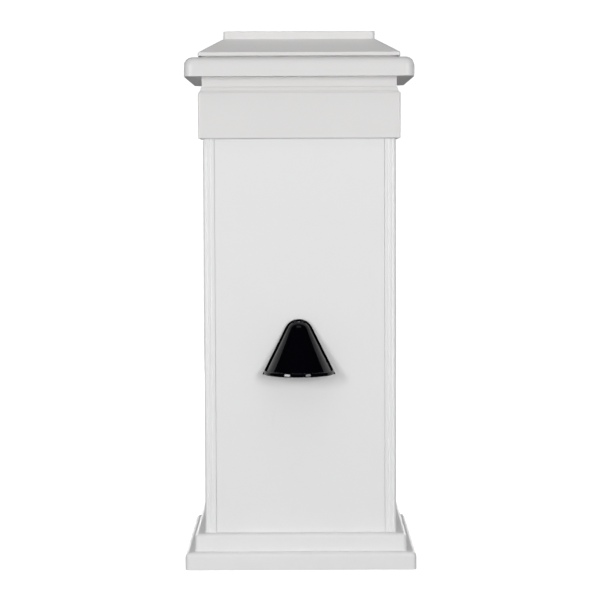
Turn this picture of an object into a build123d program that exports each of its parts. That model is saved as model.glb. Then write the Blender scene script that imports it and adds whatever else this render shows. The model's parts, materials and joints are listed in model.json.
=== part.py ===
"""Electric-vehicle charging post: a square white pedestal with a moulded plinth, collar
and cap, a socket under a black weather hood on the front, and a hinged door at the back.

Millimetres. +Z is up, the front faces -Y, and the origin is on the ground at the centre
of the shaft. Every function below makes one sub-part, or a family of equal ones.
"""
from build123d import *
import os
from math import cos, sin, tan, radians

# ---- overall sizes
post_height = 1000.0
shaft_width = 358.0

# ---- heights of the mouldings, from the ground up and from the top down
plinth_lower_height = 33.0
plinth_upper_height = 32.0
collar_height = 85.0
neck_height = 28.6
fascia_height = 35.4
cap_joint = 3.0
lip_height = 6.4
roof_rise = 27.1
crown_height = 14.5

# ---- how far the mouldings stand out from the shaft, or back from it
plinth_lower_overhang = 36.0
plinth_upper_overhang = 19.0
collar_overhang = 8.25
neck_overhang = 1.0
fascia_overhang = 33.3
lip_overhang = 8.0
crown_setback = 37.5
soffit_border = 32.0

# ---- walls, edges and corners of the mouldings
plinth_wall = 4.0
plinth_corner = 9.5
plinth_edge_step = 1.0
collar_corner = 4.0
collar_edge = 2.2
ogee_height = 11.0
ogee_step = 1.0
ogee_curve = 1.2
neck_wall = 5.0
fascia_wall = 4.0
fascia_corner = 18.0
fascia_edge_step = 1.5
roof_wall = 3.0
roof_corner = 5.0
roof_inner_corner = 3.0
crown_corner = 8.0
crown_edge = 1.6
seal_setback = 5.0
seal_width = 12.0
sleeve_gap = 0.4
head_room = 2.0

# ---- corner trims and side panels
trim_width = 21.3
trim_wall = 2.5
trim_bead = 6.5
trim_inner_edge = 1.0
flute_pitch = 7.0
flute_radius = 2.4
flute_depth = 1.0
strip_width = 15.0
strip_thickness = 2.2
panel_thickness = 4.0
panel_recess = 0.5
panel_joint = 0.4
panel_edge = 0.6
panel_foot_gap = 2.0
panel_screw_rows = 4
panel_screw_end = 45.0
panel_skin = 1.2
rail_tuck = 30.0
rail_lap = 14.0

# ---- steelwork
base_plate_thickness = 8.0
base_plate_inset = 5.0
base_plate_corner = 8.0
anchor_spacing = 240.0
anchor_hole_radius = 7.0
conduit_hole_radius = 55.0
upright_width = 25.0
upright_wall = 2.0
upright_side_gap = 30.0
upright_back_y = -72.0
equipment_plate_thickness = 2.5
equipment_plate_bottom = 110.0
equipment_plate_headroom = 143.0
plate_screw_end = 20.0
plate_screw_rows = 3
cable_slot_width = 10.0
cable_slot_length = 50.0
cable_slot_gap = 3.0
cable_slot_rows = 3
head_frame_thickness = 3.0
head_frame_width = 46.0
head_frame_corner = 6.0
bracket_width = 40.0
bracket_sheet = 2.5
bracket_setback = 6.0
bracket_foot = 20.0
bracket_head = 24.0
bracket_screw = 16.0

# ---- rails and the devices that sit on them
rail_end_margin = 34.5
rail_depth = 7.5
rail_sheet = 1.0
rail_hat = 27.0
rail_lip = 4.0
rail_fit = 0.3
module_back = 3.5
module_shoulder = 46.0
module_nose = 68.0
module_height = 90.0
module_nose_height = 45.0
module_edge = 1.0
well_radius = 3.2
well_depth = 9.0
switch_gap = 24.0
device_gap = 6.0
isolator_width = 72.0
knob_radius = 17.0
knob_disc = 6.0
knob_shaft_radius = 4.0
knob_shaft_length = 13.0
grip_width = 10.0
grip_height = 30.0
grip_depth = 15.0
grip_corner = 4.0
breaker_width = 72.0
lever_inset = 14.0
lever_depth = 62.0
lever_radius = 9.0
lever_width = 12.0
lever_thickness = 5.0
lever_reach = 9.0
lever_angle = 30.0
button_inset = 56.0
button_size = 7.0
button_travel = 1.5
button_pocket = 8.0
button_proud = 2.0
contactor_width = 54.0
contactor_nose = 64.0
meter_width = 72.0
display_inset = 14.0
display_low = -2.0
display_high = 16.0
display_depth = 1.5
supply_width = 54.0
supply_nose = 60.0

# ---- charge controller, terminals and earth bar
controller_width = 160.0
controller_height = 115.0
controller_depth = 42.0
controller_stand_off = 6.0
controller_corner = 5.0
controller_edge = 1.5
controller_foot_radius = 5.0
controller_foot_inset = 12.0
vent_rows = 7
vent_pitch = 8.0
vent_height = 3.0
vent_depth = 2.0
vent_length = 70.0
vent_inset = 20.0
terminal_count = 8
terminal_width = 12.0
terminal_gap = 0.2
terminal_height = 56.0
terminal_depth = 42.0
terminal_well_radius = 3.0
terminal_well_depth = 12.0
terminal_well_offset = 18.0
earth_bar_length = 120.0
earth_bar_height = 12.0
earth_bar_depth = 8.0
earth_bar_stand_off = 12.0
earth_hole_radius = 2.6
earth_hole_pitch = 12.0
earth_hole_count = 9
earth_stud_radius = 3.0
earth_stud_inset = 5.0
earth_stud_proud = 2.0

# ---- supply cable's gland
gland_shelf_drop = 18.0
gland_shelf_sheet = 2.5
gland_shelf_lip = 20.0
gland_shelf_depth = 112.0
gland_from_shelf_front = 50.0
gland_bore = 10.0
gland_thread_wall = 4.0
gland_thread_length = 15.0
gland_thread_gap = 0.3
gland_hex_wall = 4.0
gland_hex_length = 14.0
gland_dome_wall = 2.0
gland_dome_length = 14.0
gland_dome_edge = 3.0
gland_nut_wall = 5.0
gland_nut_thickness = 6.0

# ---- socket
socket_radius = 35.0
socket_wall = 3.0
socket_depth = 58.0
socket_back = 4.0
socket_hole_gap = 1.0
socket_flange_width = 110.0
socket_flange_thickness = 4.0
socket_flange_drop = 6.0
socket_flange_corner = 8.0
shroud_gap = 7.5
insert_flat_cut = 5.5
insert_recess = 6.0
contact_edge = 8.5
contact_recess = 3.0
contact_tail = 14.0
contact_solid_length = 12.0
power_sleeve_radius = 4.0
power_bore_radius = 3.1
signal_sleeve_radius = 2.5
signal_bore_radius = 1.6
lock_pin_radius = 3.0
lock_pin_length = 34.0
lock_pin_inset = 18.5
lock_pin_gap = 0.3
actuator_width = 32.0
actuator_depth = 44.0
actuator_height = 40.5
actuator_gap = 0.5
actuator_corner = 2.0

# ---- hood, bezel and the hood's hinge
hood_bottom_z = 362.5
hood_above_socket = 23.0
hood_below_socket = 7.5
hood_top_radius = 23.0
hood_half_angle = 26.4
hood_wall = 2.5
hood_band_height = 7.5
hood_band_step = 1.0
hood_band_edge = 2.0
hood_shift_x = -2.5
bezel_margin = 4.5
bezel_thickness = 4.0
bezel_hole_gap = 0.3
bezel_gasket_thickness = 1.0
bezel_screw_low_x = 45.0
bezel_screw_low_rise = 14.5
bezel_screw_high_x = 9.0
bezel_screw_high_drop = 16.0
hinge_drop = 4.2
hinge_stand_off = 4.9
hinge_pin_radius = 1.5
knuckle_wall = 2.1
lug_inner_x = 3.2
lug_width = 4.0
lug_side_gap = 0.3
lug_slack = 0.1
lid_knuckle_width = 4.0
notch_gap = 0.75
spring_wire = 0.8
spring_gap = 0.4
spring_pitch_gap = 0.1
spring_turns = 5

# ---- rear door and its hinges
door_gap = 3.0
door_thickness = 4.0
door_seal = 1.2
door_seal_gap = 0.3
door_seal_inset = 3.0
door_seal_lap = 2.0
door_side_gap = 1.0
door_edge = 1.2
door_hinge_length = 60.0
door_hinge_count = 3
door_hinge_end = 60.0
door_pin_radius = 2.0
door_knuckle_wall = 2.0
door_pin_head = 1.5
door_pin_head_step = 0.6
door_axis_inset = 0.4
door_axis_lift = 0.5
knuckle_end_gap = 0.3
leaf_thickness = 2.0
leaf_width = 14.0
fixed_leaf_offset = 4.5
fixed_web_offset = 7.0
moving_leaf_offset = 4.9
moving_web_offset = 8.0
web_lift = 0.6
web_thickness = 2.4
stiffener_width = 22.0
stiffener_depth = 13.0
stiffener_sheet = 1.5
stiffener_inset = 66.0
stiffener_end = 25.0

# ---- the door's cam lock
door_lock_inset = 35.0
lock_barrel_radius = 9.0
lock_rim_width = 4.0
lock_rim_depth = 2.5
lock_rim_edge = 1.0
lock_core_radius = 6.0
lock_core_proud = 2.0
lock_key_size = 7.0
lock_key_depth = 6.0
lock_nut_across = 26.0
lock_nut_thickness = 4.0
cam_catch = 8.2
cam_clearance = 2.7
cam_width = 16.0
cam_thickness = 2.5
cam_corner = 4.0
cam_tail_proud = 3.0

# ---- screws and fits
screw_radius = 2.0
screw_head_radius = 3.8
screw_head_height = 2.4
screw_short = 0.5
cap_screw_bite = 5.0
fastener_gap = 0.05
running_gap = 0.05
moving_gap = 0.4
cut = 1.0

# ---- places that follow from the sizes above
half = shaft_width / 2
plinth_top = plinth_lower_height + plinth_upper_height
plinth_edge = plinth_corner - plinth_edge_step
fascia_edge = fascia_corner - fascia_edge_step
crown_z = post_height - crown_height
roof_z = crown_z - roof_rise
lip_z = roof_z - lip_height
deck_z = lip_z - cap_joint
fascia_z = deck_z - fascia_height
neck_z = fascia_z - neck_height
collar_z = neck_z - collar_height
shell_top = neck_z - head_room
trim_inner = half - trim_width
panel_back = half - panel_recess - panel_thickness
strip_back = panel_back - strip_thickness
strip_tip = trim_inner - strip_width
panel_half = trim_inner - panel_joint
plate_top = base_plate_thickness

upright_x = panel_back - upright_side_gap - upright_width / 2
plate_reach = upright_x + upright_width / 2
plate_face_y = upright_back_y + equipment_plate_thickness
equipment_plate_top = shell_top - equipment_plate_headroom
rail_reach = plate_reach - rail_end_margin
rail_half_height = rail_hat / 2 + rail_lip
gland_z = equipment_plate_bottom - gland_shelf_drop
gland_y = upright_back_y + gland_shelf_depth - gland_from_shelf_front
gland_thread_radius = gland_bore + gland_thread_wall

panel_face_y = -(half - panel_recess)
bezel_face_y = panel_face_y - bezel_gasket_thickness - bezel_thickness
hood_plane_y = bezel_face_y - moving_gap
hood_height = hood_below_socket + 2 * socket_radius + hood_above_socket
hood_top_z = hood_bottom_z + hood_height
hinge_knuckle_radius = hinge_pin_radius + knuckle_wall
spring_radius = hinge_pin_radius + spring_gap + spring_wire / 2
hood_hinge_y = bezel_face_y - hinge_stand_off
hood_hinge_z = hood_top_z - hinge_drop
socket_z = hood_bottom_z + hood_below_socket + socket_radius
socket_bore = socket_radius - socket_wall
insert_radius = socket_bore - shroud_gap
lock_pin_y = bezel_face_y + lock_pin_inset
lug_outer_x = lug_inner_x + lug_width
lid_knuckle_x = lug_outer_x + lug_side_gap
pin_half = lid_knuckle_x + lid_knuckle_width

door_inner_y = panel_back + door_seal + door_seal_gap
door_outer_y = door_inner_y + door_thickness
door_bottom = plinth_top + door_gap
door_top = collar_z - door_gap
door_half = trim_inner - door_side_gap
door_knuckle_radius = door_pin_radius + door_knuckle_wall
door_axis_x = -trim_inner + door_axis_inset
door_axis_y = door_outer_y + door_knuckle_radius + door_axis_lift
door_middle_z = (door_bottom + door_top) / 2
door_lock_x = panel_half - door_lock_inset
cam_back_y = strip_back - cam_clearance
cam_length = strip_tip - door_lock_x + cam_catch


def span(x0, x1, y0, y1, z0, z1):
    """A block between six planes."""
    return Pos((x0 + x1) / 2, (y0 + y1) / 2, (z0 + z1) / 2) * Box(x1 - x0, y1 - y0, z1 - z0)


def square_block(half_width, z0, z1, corner):
    """An upright square block with rounded corners, centred on the post."""
    outline = RectangleRounded(2 * half_width, 2 * half_width, corner)
    return extrude(Plane.XY.offset(z0) * outline, amount=z1 - z0)


def rod(x, y, z, direction, radius, length):
    """A round bar from a point along a direction."""
    return extrude(Plane(origin=(x, y, z), z_dir=direction) * Circle(radius), amount=length)


def hexagon(x, y, z, direction, across_flats, length):
    """A hexagonal bar from a point along a direction."""
    outline = RegularPolygon(across_flats / 2, 6, major_radius=False)
    return extrude(Plane(origin=(x, y, z), z_dir=direction) * outline, amount=length)


def top_edges(solid):
    """The edges of the highest face."""
    return solid.edges().group_by(Axis.Z)[-1]


def bottom_edges(solid):
    """The edges of the lowest face."""
    return solid.edges().group_by(Axis.Z)[0]


def group(pieces):
    """Equal pieces that share one node."""
    return Compound([solid for piece in pieces for solid in piece.solids()])


def four_sides(solid):
    """A solid and its three copies turned about the post's axis."""
    return [Rot(0, 0, turn) * solid for turn in (0, 90, 180, 270)]


# ------------------------------------------------------------------ mouldings
def plinth_tier(overhang, z0, z1):
    """One tier of the plinth: a skirt with a rounded shoulder and a hole for the shaft."""
    outer = fillet(top_edges(square_block(half + overhang, z0, z1, plinth_corner)), plinth_edge)
    inner_corner = plinth_corner - plinth_wall
    room = square_block(half + overhang - plinth_wall, z0, z1 - plinth_wall, inner_corner)
    return outer - room - square_block(half + sleeve_gap, z0, z1, trim_bead)


def collar_band():
    """The plain frieze band round the head of the shaft."""
    band = square_block(half + collar_overhang, collar_z, neck_z, collar_corner)
    band = fillet(top_edges(band) + bottom_edges(band), collar_edge)
    return band - square_block(half + sleeve_gap, collar_z, neck_z, trim_bead)


def neck_moulding():
    """The ogee on top of the collar, and the straight neck above it."""
    foot = half + collar_overhang - collar_edge
    throat = half + neck_overhang
    ledge = neck_z + ogee_step
    neck_start = neck_z + ogee_height
    middle = ((foot + throat) / 2, (ledge + neck_start) / 2)
    curve = (foot - throat) * ogee_curve
    hollow = RadiusArc((foot, ledge), middle, curve)
    swell = RadiusArc(middle, (throat, neck_start), -curve)
    outline = [
        Line((-throat, fascia_z), (throat, fascia_z)),
        Line((throat, fascia_z), (throat, neck_start)),
        swell,
        hollow,
        Line((foot, ledge), (foot, neck_z)),
        Line((foot, neck_z), (-foot, neck_z)),
        Line((-foot, neck_z), (-foot, ledge)),
        mirror(hollow, Plane.YZ),
        mirror(swell, Plane.YZ),
        Line((-throat, neck_start), (-throat, fascia_z)),
    ]
    section = make_face(Curve() + outline)
    across = extrude(Plane.XZ * section, amount=foot, both=True)
    along = extrude(Plane.YZ * section, amount=foot, both=True)
    inside = square_block(throat - neck_wall, neck_z, fascia_z, trim_bead)
    return (across & along) - inside


def cap_tray():
    """The overhanging fascia with its rounded shoulder, open below."""
    outer = square_block(half + fascia_overhang, fascia_z, deck_z, fascia_corner)
    outer = fillet(top_edges(outer), fascia_edge)
    room = square_block(half + fascia_overhang - fascia_wall, fascia_z, deck_z - fascia_wall,
                        fascia_corner - fascia_wall)
    room = fillet(top_edges(room), fascia_edge - fascia_wall)
    opening = square_block(half - crown_setback, fascia_z, deck_z, crown_corner)
    return outer - room - opening


def cap_soffit():
    """The flat underside of the cap, between the fascia and the neck."""
    outer = half + fascia_overhang - fascia_wall - sleeve_gap
    corner = fascia_corner - fascia_wall
    soffit = square_block(outer, fascia_z, fascia_z + fascia_wall, corner)
    return soffit - square_block(half - soffit_border, fascia_z, fascia_z + fascia_wall, crown_corner)


def cap_seal():
    """The seal that lifts the roof off the fascia and leaves a shadow line."""
    outer = half + lip_overhang - seal_setback
    seal = square_block(outer, deck_z, lip_z, crown_corner)
    return seal - square_block(outer - seal_width, deck_z, lip_z, crown_corner)


def sloped_block(foot, head, z0, z1, corner):
    """A square block that narrows in straight slopes from foot to head."""
    low = Plane.XY.offset(z0) * RectangleRounded(2 * foot, 2 * foot, corner)
    high = Plane.XY.offset(z1) * RectangleRounded(2 * head, 2 * head, corner)
    return loft([low, high])


def cap_roof():
    """The lip and the sloped roof above it, as one hollow moulding."""
    lip_half = half + lip_overhang
    head = half - crown_setback
    lip = square_block(lip_half, lip_z, roof_z, roof_corner)
    outer = lip + sloped_block(lip_half, head, roof_z, crown_z, roof_corner)
    inner_lip = square_block(lip_half - roof_wall, lip_z, roof_z, roof_corner)
    inner_roof = sloped_block(lip_half - roof_wall, head - roof_wall, roof_z,
                              crown_z - roof_wall, roof_inner_corner)
    return outer - inner_lip - inner_roof


def cap_crown():
    """The low square block on top of the roof, a lid moulded hollow."""
    outer = square_block(half - crown_setback, crown_z, post_height, crown_corner)
    outer = fillet(top_edges(outer), crown_edge)
    room_half = half - crown_setback - roof_wall
    return outer - square_block(room_half, crown_z, post_height - roof_wall,
                                crown_corner - roof_wall)


# ------------------------------------------------------------------ shell
def trim_section():
    """Section of the corner trim at +X +Y: a fluted square tube with a rounded corner."""
    middle = half - trim_width / 2
    body = Pos(middle, middle) * Rectangle(trim_width, trim_width)
    body = fillet(body.vertices().sort_by(lambda v: v.X + v.Y)[-1], trim_bead)
    beside_panels = [v for v in body.vertices() if abs(v.X - v.Y) > trim_width / 2]
    body = fillet(beside_panels, trim_inner_edge)
    core = trim_width - 2 * trim_wall
    section = body - Pos(middle, middle) * Rectangle(core, core)
    centre = half + flute_radius - flute_depth
    for step in (1, 2):
        place = half - step * flute_pitch
        section -= Pos(place, centre) * Circle(flute_radius)
        section -= Pos(centre, place) * Circle(flute_radius)
    return section


def screw_heights():
    """Heights of the screws that hold a panel to its trims."""
    low = plinth_top + panel_screw_end
    high = collar_z - panel_screw_end
    pitch = (high - low) / (panel_screw_rows - 1)
    return [low + row * pitch for row in range(panel_screw_rows)]


def front_screws(radius, with_heads):
    """The front panel's screws, put in from inside, or the holes for them."""
    offset = (strip_tip + trim_inner) / 2
    length = strip_thickness + panel_thickness - panel_skin
    screws = []
    for z in screw_heights():
        for x in (-offset, offset):
            shank = rod(x, -strip_back, z, (0, -1, 0), radius, length)
            head = rod(x, -strip_back, z, (0, 1, 0), screw_head_radius, screw_head_height)
            screws.append(shank + head if with_heads else shank)
    return screws


def corner_trims():
    """The four corner trims, by name."""
    trim = extrude(Plane.XY.offset(plate_top) * trim_section(), amount=shell_top - plate_top)
    names = ("corner_trim_rear_right", "corner_trim_rear_left",
             "corner_trim_front_left", "corner_trim_front_right")
    return {name: Rot(0, 0, 90 * turn) * trim for turn, name in enumerate(names)}


def side_panel():
    """A plain panel in the front's place: flat, with softened upright edges."""
    panel = span(-panel_half, panel_half, -(panel_back + panel_thickness), -panel_back,
                 plate_top + panel_foot_gap, shell_top)
    front_edges = panel.edges().filter_by(Axis.Z).group_by(Axis.Y)[0]
    return fillet(front_edges, panel_edge) - front_screws(screw_radius + fastener_gap, False)


def front_panel():
    """The front panel, with the socket's hole and the bezel's screw holes."""
    panel = side_panel()
    panel -= rod(hood_shift_x, panel_face_y, socket_z, (0, 1, 0),
                 socket_radius + socket_hole_gap, panel_thickness)
    return panel - bezel_screw_set(screw_radius + fastener_gap, False)


def panel_rails():
    """The strips beside the trims that carry the panels, and the rear door's sill and header."""
    strip = span(strip_tip, trim_inner, -panel_back, -strip_back, plate_top, shell_top)
    pair = [strip, mirror(strip, Plane.YZ)]
    holes = front_screws(screw_radius + fastener_gap, False)
    rails = [Rot(0, 0, turn) * (piece - holes) for piece in pair for turn in (0, 90, -90)]
    rails += [Rot(0, 0, 180) * piece for piece in pair]
    rails.append(span(-strip_tip, strip_tip, strip_back, panel_back,
                      plinth_top - rail_tuck, door_bottom + rail_lap))
    rails.append(span(-strip_tip, strip_tip, strip_back, panel_back,
                      door_top - rail_lap, collar_z + rail_tuck))
    return group(rails)


def pan_head_screws():
    """The equal screws that hold the panels, the equipment plate and the cap."""
    screws = plate_screws(screw_radius, True) + four_sides(cap_screw(screw_radius, True))
    for screw in front_screws(screw_radius, True):
        screws += [screw, Rot(0, 0, 90) * screw, Rot(0, 0, -90) * screw]
    return group(screws)


# ------------------------------------------------------------------ steelwork
def base_plate():
    """The steel foot: four anchor holes and a hole for the underground duct."""
    plate = square_block(half - base_plate_inset, 0, plate_top, base_plate_corner)
    plate -= rod(0, 0, 0, (0, 0, 1), conduit_hole_radius, plate_top)
    offset = anchor_spacing / 2
    for x in (-offset, offset):
        for y in (-offset, offset):
            plate -= rod(x, y, 0, (0, 0, 1), anchor_hole_radius, plate_top)
    return plate


def frame_uprights():
    """Two square steel tubes that carry the equipment and the head frame."""
    y1 = upright_back_y
    y0 = y1 - upright_width
    posts = []
    for side in (-1, 1):
        x = side * upright_x
        reach = upright_width / 2
        room = reach - upright_wall
        outer = span(x - reach, x + reach, y0, y1, plate_top, shell_top)
        inner = span(x - room, x + room, y0 + upright_wall, y1 - upright_wall, plate_top, shell_top)
        posts.append(outer - inner - plate_screws(screw_radius + fastener_gap, False))
    return group(posts)


def head_frame():
    """The steel ring on top of the trims and uprights, which the cap is fixed to."""
    top = shell_top + head_frame_thickness
    outer = half + neck_overhang - neck_wall - sleeve_gap
    ring = square_block(outer, shell_top, top, trim_bead)
    return ring - square_block(half - head_frame_width, shell_top, top, head_frame_corner)


def bracket_wall():
    """Distance of the cap brackets' legs from the post's axis."""
    return half + neck_overhang - neck_wall - bracket_setback


def cap_bracket():
    """One folded bracket between the head frame and the cap's underside."""
    foot_z = shell_top + head_frame_thickness
    y = -bracket_wall()
    w = bracket_width / 2
    leg = span(-w, w, y, y + bracket_sheet, foot_z, fascia_z)
    foot = span(-w, w, y, y + bracket_foot, foot_z, foot_z + bracket_sheet)
    head = span(-w, w, y, y + bracket_head, fascia_z - bracket_sheet, fascia_z)
    return leg + foot + head


def cap_screw(radius, with_head):
    """One screw through the cap's underside into its bracket, or the hole for it."""
    y = bracket_screw - bracket_wall()
    top = fascia_z + fascia_wall
    shank = rod(0, y, top, (0, 0, -1), radius, fascia_wall + cap_screw_bite)
    if not with_head:
        return shank
    return shank + rod(0, y, top, (0, 0, 1), screw_head_radius, screw_head_height)


def cap_brackets():
    """The four brackets of the cap, drilled for its screws."""
    bracket = cap_bracket() - cap_screw(screw_radius + fastener_gap, False)
    return group(four_sides(bracket))


def equipment_plate():
    """The galvanised plate that the electrical equipment is mounted on."""
    z0 = equipment_plate_bottom
    z1 = equipment_plate_top
    plate = span(-plate_reach, plate_reach, upright_back_y, plate_face_y, z0, z1)
    x = rail_reach + cable_slot_gap + cable_slot_width / 2
    pitch = (z1 - z0) / cable_slot_rows
    for row in range(cable_slot_rows):
        z = z0 + pitch * (row + 0.5)
        for side in (-1, 1):
            low = side * x - cable_slot_width / 2
            plate -= span(low, low + cable_slot_width, upright_back_y, plate_face_y,
                          z - cable_slot_length / 2, z + cable_slot_length / 2)
    return plate - plate_screws(screw_radius + fastener_gap, False)


def plate_screws(radius, with_heads):
    """Screws that hold the equipment plate to the uprights, or their holes."""
    low = equipment_plate_bottom + plate_screw_end
    high = equipment_plate_top - plate_screw_end
    length = equipment_plate_thickness + upright_wall
    screws = []
    for side in (-1, 1):
        for row in range(plate_screw_rows):
            x = side * upright_x
            z = low + row * (high - low) / (plate_screw_rows - 1)
            shank = rod(x, plate_face_y, z, (0, -1, 0), radius, length)
            head = rod(x, plate_face_y, z, (0, 1, 0), screw_head_radius, screw_head_height)
            screws.append(shank + head if with_heads else shank)
    return screws


# ------------------------------------------------------------------ equipment
def row_middles():
    """Heights of the five rows on the plate, spread evenly from the bottom up."""
    heights = [earth_bar_height, terminal_height, controller_height, module_height, module_height]
    gap = (equipment_plate_top - equipment_plate_bottom - sum(heights)) / (len(heights) + 1)
    middles = []
    z = equipment_plate_bottom
    for height in heights:
        middles.append(z + gap + height / 2)
        z += gap + height
    return middles


earth_z, terminal_z, controller_z, meter_z, switch_z = row_middles()


def row_starts(widths, gap):
    """Left edges of devices side by side on a rail, centred on the post."""
    start = -(sum(widths) + gap * (len(widths) - 1)) / 2
    return [start + sum(widths[:place]) + gap * place for place in range(len(widths))]


isolator_x, breaker_x = row_starts([isolator_width, breaker_width], switch_gap)
contactor_x, meter_x, supply_x = row_starts([contactor_width, meter_width, supply_width], device_gap)


def din_rail(z):
    """A top-hat mounting rail, folded from sheet steel."""
    y = plate_face_y
    edge = y + rail_depth
    hat_half = rail_hat / 2
    hat = span(-rail_reach, rail_reach, y, edge, z - hat_half, z + hat_half)
    room = hat_half - rail_sheet
    hat -= span(-rail_reach, rail_reach, y + rail_sheet, edge, z - room, z + room)
    for side in (-1, 1):
        middle = z + side * (rail_half_height + room) / 2
        reach = (rail_half_height - room) / 2
        hat += span(-rail_reach, rail_reach, edge - rail_sheet, edge, middle - reach, middle + reach)
    return hat


def rail_slot(x0, x1, z):
    """The slot that a device has at its back for its rail."""
    reach = rail_half_height + rail_fit
    top = plate_face_y + rail_depth + rail_fit
    return span(x0, x1, plate_face_y + module_back, top, z - reach, z + reach)


def module(x0, width, z, nose=module_nose):
    """A rail-mounted device: a stepped housing with a slot at the back for the rail."""
    shoulder = plate_face_y + module_shoulder
    tall = module_height / 2
    low = module_nose_height / 2
    housing = span(x0, x0 + width, plate_face_y + module_back, shoulder, z - tall, z + tall)
    housing += span(x0, x0 + width, shoulder, plate_face_y + nose, z - low, z + low)
    housing = fillet(housing.edges().filter_by(Axis.Z).group_by(Axis.Y)[-1], module_edge)
    return housing - rail_slot(x0, x0 + width, z)


def device(x0, width, z, terminals, nose=module_nose):
    """A rail-mounted device with the screw wells of its terminals in both shoulders."""
    housing = module(x0, width, z, nose)
    pitch = width / terminals
    offset = (module_height + module_nose_height) / 4
    for row in (-1, 1):
        for place in range(terminals):
            x = x0 + pitch * (place + 0.5)
            housing -= rod(x, plate_face_y + module_shoulder, z + row * offset, (0, -1, 0),
                           well_radius, well_depth)
    return housing


def isolator_body():
    """The main switch's housing, with a bore for its shaft."""
    body = device(isolator_x, isolator_width, switch_z, 4)
    nose = plate_face_y + module_nose
    return body - rod(isolator_x + isolator_width / 2, nose, switch_z, (0, -1, 0),
                      knob_shaft_radius + running_gap, knob_shaft_length + cut)


def isolator_knob():
    """The main switch's knob with its grip bar and shaft, shown on."""
    x = isolator_x + isolator_width / 2
    y = plate_face_y + module_nose + moving_gap
    w = grip_width / 2
    h = grip_height / 2
    knob = rod(x, y, switch_z, (0, 1, 0), knob_radius, knob_disc)
    grip = span(x - w, x + w, y + knob_disc - cut, y + knob_disc - cut + grip_depth,
                switch_z - h, switch_z + h)
    grip = fillet(grip.edges().filter_by(Axis.Y), grip_corner)
    return knob + grip + rod(x, y, switch_z, (0, -1, 0), knob_shaft_radius, knob_shaft_length)


def lever_rod(radius, side_gap):
    """The round drum of the breaker's lever, or the slot for it."""
    width = lever_width + 2 * side_gap
    return rod(breaker_x + lever_inset - width / 2, plate_face_y + lever_depth, switch_z,
               (1, 0, 0), radius, width)


def breaker_body():
    """The residual-current breaker, with a slot for its lever and a pocket for its button."""
    body = device(breaker_x, breaker_width, switch_z, 4)
    body -= lever_rod(lever_radius + moving_gap, moving_gap)
    x = breaker_x + button_inset
    w = button_size / 2 + knuckle_end_gap
    nose = plate_face_y + module_nose
    return body - span(x - w, x + w, nose - button_pocket, nose, switch_z - w, switch_z + w)


def breaker_lever():
    """The breaker's toggle, shown on."""
    w = lever_width / 2
    t = lever_thickness / 2
    place = Pos(breaker_x + lever_inset, plate_face_y + lever_depth, switch_z)
    stub = span(-w, w, 0, lever_radius + lever_reach, -t, t)
    return lever_rod(lever_radius, 0) + place * Rot(lever_angle, 0, 0) * stub


def breaker_button():
    """The breaker's test button."""
    x = breaker_x + button_inset
    w = button_size / 2
    nose = plate_face_y + module_nose
    floor = nose - button_pocket + button_travel + knuckle_end_gap
    return span(x - w, x + w, floor, nose + button_proud, switch_z - w, switch_z + w)


def energy_meter():
    """The energy meter, with a sunk window for its display."""
    nose = plate_face_y + module_nose
    display = span(meter_x + display_inset, meter_x + meter_width - display_inset,
                   nose - display_depth, nose, meter_z + display_low, meter_z + display_high)
    return device(meter_x, meter_width, meter_z, 4) - display


def charge_controller():
    """The charge controller: a ribbed box on four feet."""
    y0 = plate_face_y + controller_stand_off
    y1 = y0 + controller_depth
    w = controller_width / 2
    h = controller_height / 2
    box = span(-w, w, y0, y1, controller_z - h, controller_z + h)
    box = fillet(box.edges().filter_by(Axis.Y), controller_corner)
    box = fillet(box.faces().sort_by(Axis.Y)[-1].edges(), controller_edge)
    for row in range(vent_rows):
        z = controller_z - h + vent_inset + row * vent_pitch
        box -= span(-w + vent_inset, -w + vent_inset + vent_length, y1 - vent_depth, y1,
                    z, z + vent_height)
    for x in (-w + controller_foot_inset, w - controller_foot_inset):
        for z in (-h + controller_foot_inset, h - controller_foot_inset):
            box += rod(x, plate_face_y, controller_z + z, (0, 1, 0), controller_foot_radius,
                       controller_stand_off + cut)
    return box


def terminal_blocks():
    """A row of rail terminals for the supply cable."""
    face = plate_face_y + terminal_depth
    tall = terminal_height / 2
    blocks = []
    for x in row_starts([terminal_width] * terminal_count, terminal_gap):
        block = span(x, x + terminal_width, plate_face_y + module_back, face,
                     terminal_z - tall, terminal_z + tall)
        block -= rail_slot(x, x + terminal_width, terminal_z)
        for row in (-1, 1):
            block -= rod(x + terminal_width / 2, face, terminal_z + row * terminal_well_offset,
                         (0, -1, 0), terminal_well_radius, terminal_well_depth)
        blocks.append(block)
    return group(blocks)


def earth_bar():
    """The brass earth bar on two studs."""
    w = earth_bar_length / 2
    h = earth_bar_height / 2
    y0 = plate_face_y + earth_bar_stand_off
    y1 = y0 + earth_bar_depth
    bar = span(-w, w, y0, y1, earth_z - h, earth_z + h)
    first = -earth_hole_pitch * (earth_hole_count - 1) / 2
    for place in range(earth_hole_count):
        bar -= rod(first + earth_hole_pitch * place, y1, earth_z, (0, -1, 0), earth_hole_radius,
                   earth_bar_depth)
    for x in (-w + earth_stud_inset, w - earth_stud_inset):
        bar += rod(x, plate_face_y, earth_z, (0, 1, 0), earth_stud_radius,
                   y1 + earth_stud_proud - plate_face_y)
    return bar


def gland_plate():
    """The folded shelf that clamps the supply cable's gland."""
    shelf = span(-plate_reach, plate_reach, upright_back_y, upright_back_y + gland_shelf_depth,
                 gland_z, gland_z + gland_shelf_sheet)
    shelf += span(-plate_reach, plate_reach, upright_back_y, upright_back_y + gland_shelf_sheet,
                  gland_z - gland_shelf_lip, gland_z)
    return shelf - rod(0, gland_y, gland_z, (0, 0, 1), gland_thread_radius + gland_thread_gap,
                       gland_shelf_sheet)


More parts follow.
